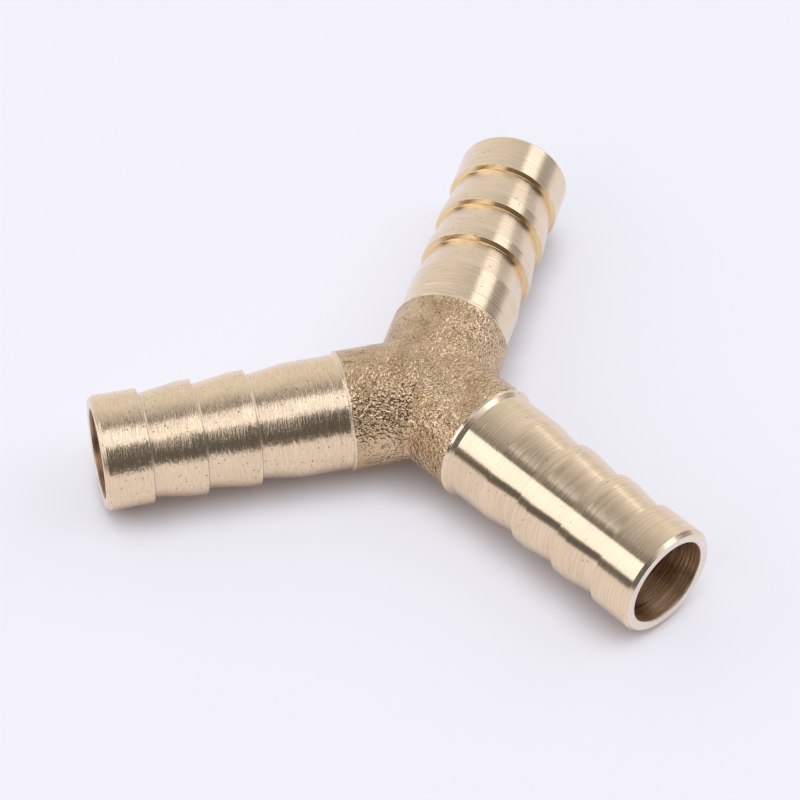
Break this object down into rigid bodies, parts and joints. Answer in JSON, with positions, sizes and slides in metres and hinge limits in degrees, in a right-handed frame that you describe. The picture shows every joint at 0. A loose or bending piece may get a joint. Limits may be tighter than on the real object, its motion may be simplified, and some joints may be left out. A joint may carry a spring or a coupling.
{
  "type": "barbed hose connector",
  "caption": "Brass Y connector that joins flexible hoses: a rough cast hub and equal turned tails with sharp barbs, bored right through.",
  "frame": {"origin": "the point where the axes of the three legs meet, which is also the centre of mass", "axes": "+Z is normal to the plane of the three legs and up as the part lies on a table; +Y runs along the rear leg; the left leg points to 210 degrees and the right leg to 330 degrees from +X"},
  "size_m": [0.0658, 0.057, 0.0128],
  "materials": {
    "cast_brass": "as cast and blasted, fine granular relief, satin",
    "turned_brass": "turned bright, fine tool marks round the axis"
  },
  "bodies": {
    "root": {"cast_hub": "cast_brass", "left_hose_tail": "turned_brass", "right_hose_tail": "turned_brass", "rear_hose_tail": "turned_brass"}
  },
  "joints": []
}
